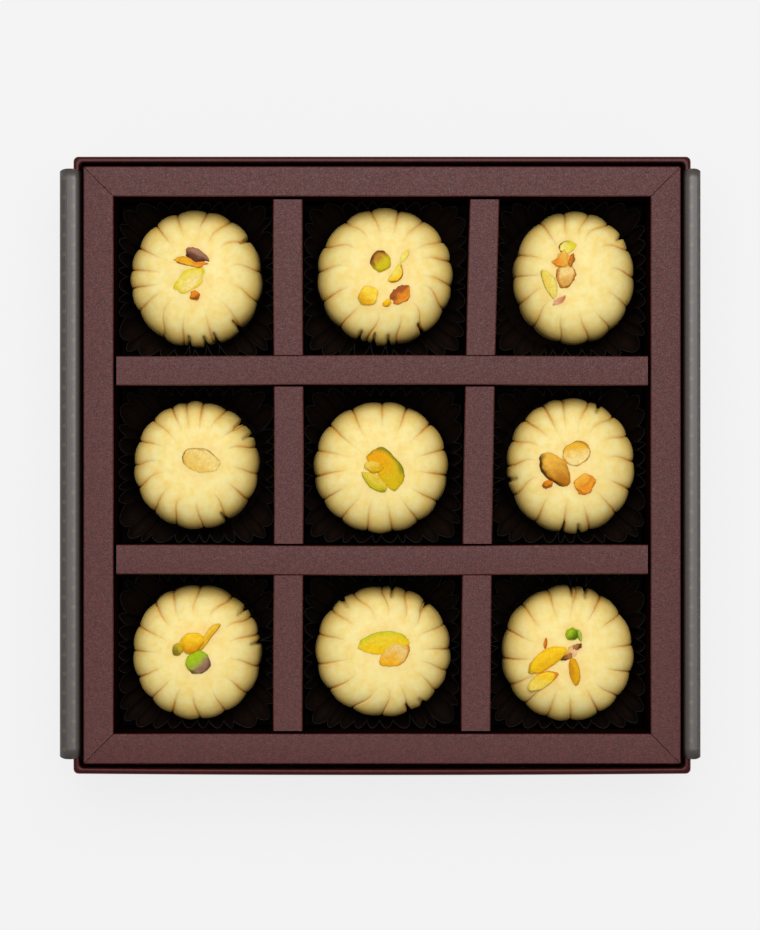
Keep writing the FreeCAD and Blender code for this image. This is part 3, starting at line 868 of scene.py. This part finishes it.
# Paper cups: pressed down into their cells, so the pleated rim follows the walls into the corners
cupLook = {
    "pleats": 36, "pleatSteps": 12, "merge": 0.004,  # mm
    "rows": (0.0, 0.05, 0.2, 0.45, 0.72, 0.97, 1.0),  # heights, of the whole
    "rimStart": (0.97, 1.0),  # heights of the cut rim
    "foot": 18.6,           # mm, radius at the floor
    "square": 7.0,          # power of the rim's rounded square
    "spread": (0.05, 0.75),  # heights between which round turns to square
    "pleatDepth": 2.3, "leastPleat": 0.7,  # mm
    "sweetGap": 0.35, "wallGap": 0.2,  # mm
    "bulgeFall": 3.0,       # higher keeps the bulge of the sweet further up and down
    "footPleat": 0.3,       # depth of the pleats at the floor, of the full depth
    "footRise": (0.0, 0.6),  # heights between which they deepen
    "scallop": 0.85,        # below 1 the pleats are rounder outside and sharper inside
    "wander": 2.8,          # degrees, unevenness of the pleats
    "ragged": 0.9, "raggedSize": 2.6,  # mm, unevenness of the rim, and how quickly it changes
    "raggedStart": (0.5, 1.0),  # heights
    "pressShare": 0.75, "pressNarrow": 4,  # how far a fold goes into the dent that it made; its narrowness
    "paper": 0.15,          # mm
    "columns": 3,           # cells in a row
    "seed": 70,
}


def cellReach(number, angle, look):
    # from the middle of the cell to the rim of a cup pressed against its walls
    column = (number - 1) % look["columns"]
    half = (boxes["cross_divider_right"][0].x - boxes["cross_divider_left"][1].x) / 2
    x, y = math.cos(angle), math.sin(angle)
    skew = crateSkew(crossPlace, cellMiddle(number).y + half * y)
    side = half
    # the divider that stands askew is a wall of the middle column and of the right one
    if column == 1 and x > 0:
        side += skew
    if column == 2 and x < 0:
        side -= skew
    gap = look["wallGap"] * mm
    power = look["square"]
    return (abs(x / (side - gap)) ** power + abs(y / (half - gap)) ** power) ** (-1 / power)


def edgeOfSweet(number, angle):
    # from the middle of the cell to the sweet's widest ring
    place = places[number - 1]
    low, high = boxes[f"sweet_{number}"]
    radius = (high.x - low.x) / 2
    wide, deep = radius * place["size"][0], radius * place["size"][1]
    x, y = math.cos(angle), math.sin(angle)
    dx, dy = place["offset"][0] * mm, place["offset"][1] * mm
    a = (x / wide) ** 2 + (y / deep) ** 2
    b = -2 * (x * dx / wide ** 2 + y * dy / deep ** 2)
    c = (dx / wide) ** 2 + (dy / deep) ** 2 - 1
    return (-b + math.sqrt(b * b - 4 * a * c)) / (2 * a)


def turnTo(angle, goal):
    # degrees from one angle to another, the short way round
    return (goal - angle + 180) % 360 - 180


def makeCup(number, look):
    low, high = boxes[f"paper_cup_{number}"]
    sweetLow, sweetHigh = boxes[f"sweet_{number}"]
    middle, height = cellMiddle(number), high.z - low.z
    waist = sweetLow.z + sweetLook["waist"] * (sweetHigh.z - sweetLow.z)
    chance = random.Random(look["seed"] + number)
    pleats, steps = look["pleats"], look["pleatSteps"]
    around = pleats * steps
    folds = [360 * k / pleats + chance.uniform(-1, 1) * look["wander"] for k in range(pleats)]
    pressed = set()
    for press in places[number - 1]["presses"]:
        k = min(range(pleats), key=lambda n: abs(turnTo(press, folds[n])))
        folds[k] += turnTo(folds[k], press)
        pressed.add(k)
    shape = bmesh.new()
    bmesh.ops.create_circle(shape, segments=around, radius=look["foot"] * mm)
    row = shape.verts.layers.int.new("row")
    rim = shape.verts.layers.float.new("rim")
    floor = ring = shape.edges[:]
    for i in range(1, len(look["rows"])):
        ring, verts = extrudeRing(shape, ring)
        for vert in verts:
            vert[row] = i
    for vert in extrudeRing(shape, floor)[1]:
        vert[row] = -1
    for vert in shape.verts:
        if vert[row] < 0:
            vert.co = (middle.x, middle.y, low.z + look["paper"] / 2 * mm)
            continue
        share = look["rows"][vert[row]]
        step = round(math.atan2(vert.co.y, vert.co.x) / (2 * math.pi) * around) % around
        k, along = step // steps, (step % steps) / steps
        nextFold = folds[(k + 1) % pleats] + (360 if k + 1 == pleats else 0)
        angle = math.radians(folds[k] + (nextFold - folds[k]) * along)
        squared = smooth(*look["spread"], share)
        outside = look["foot"] * mm * (1 - squared) + cellReach(number, angle, look) * squared
        # the sweet pushes the paper out at its widest, less so above and below
        away = (low.z + height * share - waist) / height
        bulge = edgeOfSweet(number, angle) * (1 - away ** 2 / look["bulgeFall"])
        inside = max(outside - look["pleatDepth"] * mm, bulge + look["sweetGap"] * mm)
        inside = min(inside, outside - look["leastPleat"] * mm)
        nearFold = k if along < 0.5 else (k + 1) % pleats
        if nearFold in pressed:
            deepest = (sweetLook["press"] * look["pressShare"] + look["sweetGap"]) * mm
            inside -= deepest * max(0.0, 1 - look["pressNarrow"] * min(along, 1 - along))
        depth = look["footPleat"] + (1 - look["footPleat"]) * smooth(*look["footRise"], share)
        arch = math.sin(math.pi * along) ** look["scallop"]
        reach = outside - (outside - inside) * depth * (1 - arch)
        x, y = math.cos(angle), math.sin(angle)
        ragged = look["ragged"] * noise.noise(Vector((x, y, number)) * look["raggedSize"])
        rise = height * share + ragged * mm * smooth(*look["raggedStart"], share)
        rise += look["paper"] / 2 * mm * (1 - share)
        vert.co = (middle.x + reach * x, middle.y + reach * y, low.z + rise)
        vert[rim] = smooth(*look["rimStart"], share)
    bmesh.ops.remove_doubles(shape, verts=shape.verts[:], dist=look["merge"] * mm)
    bmesh.ops.recalc_face_normals(shape, faces=shape.faces[:])
    cup = finishPiece(f"paper_cup_{number}_pleats", shape, cupPaper, f"cup_{number}",
                      [f"paper_cup_{number}"])
    thicken(cup, look["paper"])


for number in range(1, len(places) + 1):
    makeCup(number, cupLook)
print("cups made")


# Nut pieces lie on the crowns, each pressed in a little
nutLook = {
    "subdivisions": 4,
    "sink": 0.6, "swell": 1.7,  # share of the rise that is pressed in, and how far a piece swells in height
    "dropHeight": 20.0,     # mm over the crown, from where a piece is let down
    "softness": 6.0,        # of the edge round a cut face
    "jag": 0.14, "pinch": 0.1,  # unevenness of the outline, of the size; used where a piece gives none
    "pinchPower": 1.5, "bendMiddle": 0.35,  # how late a pinch sets in, and the place that a bend leaves alone
    "bite": 2.1, "fray": 5.3, "lumps": (1.3, 3.7),  # waves of the noise over a piece
    "noiseStep": (3.7, 1.9, 0.7),  # from one piece to the next in the noise
    "edge": (0.8, 0.97),    # where the skin begins and is full, from the middle of a piece
    "edgeNoise": (0.1, 0.06), "cutNoise": 0.06,
    "rimSide": (-0.1, 0.5), "rimNoise": 0.3,
    "toneSide": (-0.45, 0.6), "toneNoise": (0.4, 0.15),
    "seed": 400, "seedStep": 10,
}


def addNut(shape, tint, nut, ground, crownTop, seed, look):
    made = bmesh.ops.create_icosphere(shape, subdivisions=look["subdivisions"], radius=1.0)["verts"]
    tone, toneTurn = nut["tone"]
    rim, rimTurn = nut.get("rim", (nut["flesh"], None))
    flesh, tone, rim = (Vector(hexColor(code)) for code in (nut["flesh"], tone, rim))
    toneWay, rimWay = (Vector((math.cos(way), math.sin(way), 0)) for way in (
        math.radians((degrees or 0) - nut["turn"]) for degrees in (toneTurn, rimTurn)))
    spot = Vector([seed * step for step in look["noiseStep"]])
    eye = photoPoint(*nut["px"], crownTop)
    place, normal = ground.ray_cast(eye + Vector((0, 0, look["dropHeight"] * mm)), Vector((0, 0, -1)))[:2]
    half = [side / 2 * mm for side in nut["size"]]
    turn = Matrix.Rotation(math.radians(nut["turn"]), 3, "Z")
    lie = Vector((0, 0, 1)).rotation_difference(normal).to_matrix()
    jag, flat, soft = nut.get("jag", look["jag"]), nut["flat"], look["softness"]
    for vert in made:
        x, y, z = vert.co
        bite, fray = (noise.noise(vert.co * look[key] + spot) for key in ("bite", "fray"))
        coarse, fine = (noise.noise(vert.co * wave + spot) for wave in look["lumps"])
        edge = 1.0
        if z > 0:
            ragged = look["edgeNoise"][0] * bite + look["edgeNoise"][1] * fray
            edge = smooth(*nut.get("edge", look["edge"]), math.hypot(x, y) + ragged)
        if rimTurn is not None:
            edge *= smooth(*look["rimSide"], vert.co.dot(rimWay) + look["rimNoise"] * bite)
        uneven = look["toneNoise"][0] * bite + look["toneNoise"][1] * fray
        toned = smooth(*look["toneSide"], vert.co.dot(toneWay) + uneven)
        vert[tint] = flesh.lerp(tone, toned).lerp(rim, edge)
        # cut face: everything above it comes down on to it, softly
        z = flat - math.log(1 + math.exp(soft * (flat - z))) / soft + look["cutNoise"] * bite
        y *= 1 - nut.get("pinch", look["pinch"]) * max(0.0, x) ** look["pinchPower"]
        y *= 1 + nut.get("blunt", 0.0) * x * x
        y += nut.get("bend", 0.0) * (x * x - look["bendMiddle"])
        point = Vector((x * half[0], y * half[1], z * half[2] * look["swell"]))
        point *= 1 + jag * coarse + jag * fine / 2
        vert.co = lie @ (turn @ point) + place + normal * half[2] * (1 - 2 * look["sink"])


def makeNuts(number, pieces, look):
    shape = bmesh.new()
    tint = shape.verts.layers.float_color.new("tint")
    crownTop = boxes[f"sweet_{number}"][1].z
    for seed, nut in enumerate(pieces, look["seed"] + look["seedStep"] * number):
        addNut(shape, tint, nut, grounds[number - 1], crownTop, seed, look)
    finishPiece(f"pistachio_{number}_pieces", shape, nutFlesh, f"sweet_{number}",
                [f"pistachio_{number}"])


for number, pieces in nuts.items():
    makeNuts(number, pieces, nutLook)
print("nut pieces made")


# Paper liner: one sheet under the tray, up inside the end walls, over their tops and down outside
linerLook = {
    "paper": 0.2, "steps": 56, "bendSteps": 12, "flapSteps": 16,
    "start": -1.15,         # mm from the crease, where the bend over the wall begins
    "crestRise": 0.4,       # mm over the crease
    # crest: mm out of the crease; seam: out, up and the slope in degrees where the paper goes on as the
    # hanging flap; stand and drop: mm out and down, where it hangs straight
    "left": {"crest": 1.6, "seam": (3.5, 0.2, 11), "stand": 5.3, "drop": -1.5},
    "right": {"crest": 2.1, "seam": (3.4, 0.33, 4), "stand": 4.2, "drop": -0.9},
    # mm, how far the curve is pulled on at each of those places
    "pull": {"start": 0.95, "toCrest": 1.05, "fromCrest": 0.4, "toSeam": 0.4, "fromSeam": 0.6, "toStand": 1.0,
             "fromStand": 4, "footIn": 0.1, "toFoot": 12},
    "blendStart": 0.3,      # mm past the seam, where the flap begins to turn at the shoulder
    "insideShadeEnd": (80.65, 81.3),  # mm from the middle, where the painted shade inside the wall gives way to the print, and where the print is full
    "flare": 0.25,          # mm, the foot stands out by this
    "shift": 0.35,          # mm, the strips lie a little to the back
    "endRound": 0.7, "endStart": (0.9, 1.0), "endPower": 3,  # mm; their ends are drawn in at the edges
    "wave": 0.16, "waveSize": 17.0,  # mm
    "rippleOut": (0.8, 2.6), "rippleDrop": (0.0, 3.5),  # mm, where the paper waves up and down
    "swayOut": (2.0, 4.0), "swayDrop": (0.5, 14.0),     # mm, where it waves in and out
    "swayShare": 1.2, "slowWave": 2.3, "noisePlaces": (3.1, 8.7),
    "floorBend": 1.0, "floorSteps": 6,  # mm
}
jointPlaces = {joint["name"]: Vector(joint["pos_m"])
               for joint in frame["record"]["behaviour"]["joints"] if "pos_m" in joint}


def bezierRun(knots, steps):
    # knots: point, handle before it, handle after it
    points = []
    for (first, _, after), (second, before, _) in zip(knots, knots[1:]):
        run = interpolate_bezier(Vector(first), Vector(after), Vector(before), Vector(second), steps)
        points += run if not points else run[1:]
    return points


def sheetFromSection(points, halfLength, steps, flatStart):
    # drags a bent line along Y and keeps, on every point, its place on the paper laid flat
    shape = bmesh.new()
    flat = shape.verts.layers.float_vector.new("flat")
    line, run = [], flatStart
    for i, point in enumerate(points):
        run += (point - points[i - 1]).length if i else 0.0
        vert = shape.verts.new((point.x, -halfLength, point.y))
        vert[flat] = (run, -halfLength, 0)
        line.append(vert)
    ring = [shape.edges.new(pair) for pair in zip(line, line[1:])]
    for i in range(steps):
        ring, verts = extrudeRing(shape, ring)
        for vert in verts:
            vert.co.y += 2 * halfLength / steps
            vert[flat] = (vert[flat][0], vert.co.y, 0)
    return shape, run


def finishPaper(name, shape, nodes, body=None, material=linerPaper):
    bmesh.ops.recalc_face_normals(shape, faces=shape.faces[:])
    # printed is 0 inside the wall, where the paper is painted dark as shade, and 1 where the print shows
    printed = shape.verts.layers.float.new("printed")
    begin, full = (place * mm for place in linerLook["insideShadeEnd"])
    for vert in shape.verts:
        vert[printed] = min(max((abs(vert.co.x) - begin) / (full - begin), 0.0), 1.0)
    piece = finishPiece(name, shape, material, body, nodes)
    thicken(piece, linerLook["paper"])
    return piece


def makeLinerEnd(side, look):
    crease, shoulder = jointPlaces[side + "_crease"], jointPlaces[side + "_shoulder"]
    sign = math.copysign(1, crease.x)
    bends, pull = look[side], look["pull"]
    stand, drop = bends["stand"], bends["drop"]
    flapLow, flapHigh = boxes[side + "_liner_flap"]
    foot, halfLength = (flapLow.z - crease.z) / mm, flapHigh.y
    crestX, crestZ = bends["crest"], look["crestRise"]
    seamX, seamZ, slope = bends["seam"]
    fall = math.tan(math.radians(slope))
    archKnots = [
        ((0, look["start"]), (0, 0), (0, look["start"] + pull["start"])),
        ((crestX, crestZ), (crestX - pull["toCrest"], crestZ), (crestX + pull["fromCrest"], crestZ)),
        ((seamX, seamZ), (seamX - pull["toSeam"], seamZ + pull["toSeam"] * fall), (0, 0)),
    ]
    flapKnots = [
        ((seamX, seamZ), (0, 0), (seamX + pull["fromSeam"], seamZ - pull["fromSeam"] * fall)),
        ((stand, drop), (stand, drop + pull["toStand"]), (stand, drop - pull["fromStand"])),
        ((stand + look["flare"], foot), (stand - pull["footIn"], foot + pull["toFoot"]), (0, 0)),
    ]

    def bentSheet(knots, steps, flatStart):
        points = [Vector((crease.x + sign * point.x * mm, crease.z + point.y * mm))
                  for point in bezierRun(knots, steps)]
        return sheetFromSection(points, halfLength, look["steps"], flatStart)

    def wave(vert):
        out = sign * (vert.co.x - crease.x) / mm
        down = max(0.0, (crease.z - vert.co.z) / mm)
        size = look["waveSize"] * mm
        end = smooth(*look["endStart"], abs(vert.co.y) / halfLength)
        end *= abs(2 * out / stand - 1) ** look["endPower"]
        vert.co.y += look["shift"] * mm - math.copysign(look["endRound"] * mm * min(end, 1.0), vert.co.y)
        ripple = noise.noise(Vector((vert.co.y / size, look["noisePlaces"][0] * sign, 0)))
        slow = noise.noise(Vector((vert.co.y / size / look["slowWave"], look["noisePlaces"][1] * sign, 0)))
        rippleShare = smooth(*look["rippleOut"], out) * smooth(*look["rippleDrop"], down)
        swayShare = smooth(*look["swayOut"], out) * smooth(*look["swayDrop"], down)
        vert.co.z += look["wave"] * mm * ripple * rippleShare
        vert.co.x += sign * look["wave"] * mm * (look["swayShare"] * ripple + slow) * swayShare

    arch, run = bentSheet(archKnots, look["bendSteps"], 0.0)
    flap, run = bentSheet(flapKnots, look["flapSteps"], run)
    for shape in (arch, flap):
        for vert in shape.verts:
            wave(vert)
    arch = finishPaper(side + "_liner_arch", arch, [side + "_liner_fold"])
    flap = finishPaper(side + "_liner_hanging", flap, [side + "_liner_flap"])
    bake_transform(arch)
    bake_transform(flap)


def makeLinerSheet(look):
    low, high = boxes["liner_sheet"]
    left, right = jointPlaces["left_crease"], jointPlaces["right_crease"]
    top = left.z + look["start"] * mm
    floor = low.z + look["paper"] / 2 * mm
    bend = look["floorBend"] * mm
    points = [Vector((left.x, top)), Vector((left.x, (top + floor) / 2))]
    points += [Vector((left.x + bend * (1 - math.cos(turn)), floor + bend * (1 - math.sin(turn))))
               for turn in quarterTurns(look["floorSteps"])]
    points += [Vector((right.x + left.x - point.x, point.y)) for point in reversed(points)]
    shape = sheetFromSection(points, high.y, look["steps"], 0.0)[0]
    finishPaper("liner_sheet_paper", shape, ["liner_sheet"], "base", shadedLiner)


makeLinerSheet(linerLook)
for side in ("left", "right"):
    makeLinerEnd(side, linerLook)
print("liner made")


# Studio: pale floor, one large soft lamp a little to the back, and a dim surround
studio = {
    "floor": {"name": "pale_floor", "color": "#F4F4F4", "ior": 1.5, "shine": 0.0, "roughness": 0.9},
    "floorSize": 3.0,       # m, as are the other sizes and places here
    "floorWhite": 0.9, "floorShare": 0.9,  # an even white, and its share over the floor's own shading
    "lampSize": 0.9, "lampPlace": (0.0, 0.34, 1.3), "lampPower": 16.0,
    "surround": 0.26, "backdrop": 0.9,  # light from all round, and what the camera sees of it
    "clipStart": 0.01,
}


def makeFloor(look):
    shape = bmesh.new()
    bmesh.ops.create_grid(shape, x_segments=4, y_segments=4, size=look["floorSize"])
    mesh = bpy.data.meshes.new("floor")
    shape.to_mesh(mesh)
    shape.free()
    floor = bpy.data.objects.new("floor", mesh)
    bpy.context.scene.collection.objects.link(floor)
    material, tree, shader = newMaterial(look["floor"])
    shader.inputs["Base Color"].default_value = hexColor(look["floor"]["color"])
    shader.inputs["Roughness"].default_value = look["floor"]["roughness"]
    rays = addNode(tree, "LightPath").outputs
    seen = addNode(tree, "Math", {0: rays["Is Camera Ray"], 1: rays["Is Glossy Ray"]}, operation="MAXIMUM")
    seen = addNode(tree, "Math", {0: seen.outputs[0], 1: rays["Is Transmission Ray"]}, operation="MAXIMUM")
    share = addNode(tree, "Math", {0: seen.outputs[0], 1: look["floorShare"]}, operation="MULTIPLY")
    white = addNode(tree, "Emission", {"Color": (look["floorWhite"],) * 3 + (1.0,)})
    mixed = addNode(tree, "MixShader", {0: share.outputs[0], 1: shader.outputs[0], 2: white.outputs[0]})
    tree.links.new(mixed.outputs[0], tree.nodes["Material Output"].inputs["Surface"])
    mesh.materials.append(material)


def makeStudio(look):
    scene = bpy.context.scene
    scene.view_settings.view_transform = "Standard"
    world = bpy.data.worlds.new("surround")
    scene.world = world
    world.use_nodes = True
    tree = world.node_tree
    rays = addNode(tree, "LightPath")
    level = addNode(tree, "MapRange", {
        "Value": rays.outputs["Is Camera Ray"], "To Min": look["surround"], "To Max": look["backdrop"]})
    tree.links.new(level.outputs[0], tree.nodes["Background"].inputs["Strength"])
    tree.nodes["Background"].inputs["Color"].default_value = (1, 1, 1, 1)

    lamp = bpy.data.lights.new("soft_lamp", "AREA")
    lamp.shape = "SQUARE"
    lamp.size = look["lampSize"]
    lamp.energy = look["lampPower"]
    lampObject = bpy.data.objects.new("soft_lamp", lamp)
    lampObject.location = look["lampPlace"]
    lampObject.rotation_euler = (-Vector(look["lampPlace"])).to_track_quat("-Z", "Y").to_euler()
    scene.collection.objects.link(lampObject)

    camera = bpy.data.cameras.new("photo_view")
    camera.sensor_width = view["sensor"]
    camera.lens = view["sensor"] * view["distance"] / (view["imageSize"][1] * view["pixel"])
    camera.clip_start = look["clipStart"]
    cameraObject = bpy.data.objects.new("photo_view", camera)
    cameraObject.location = cameraPlace
    scene.collection.objects.link(cameraObject)
    scene.camera = cameraObject


makeFloor(studio)
makeStudio(studio)
print("studio made")
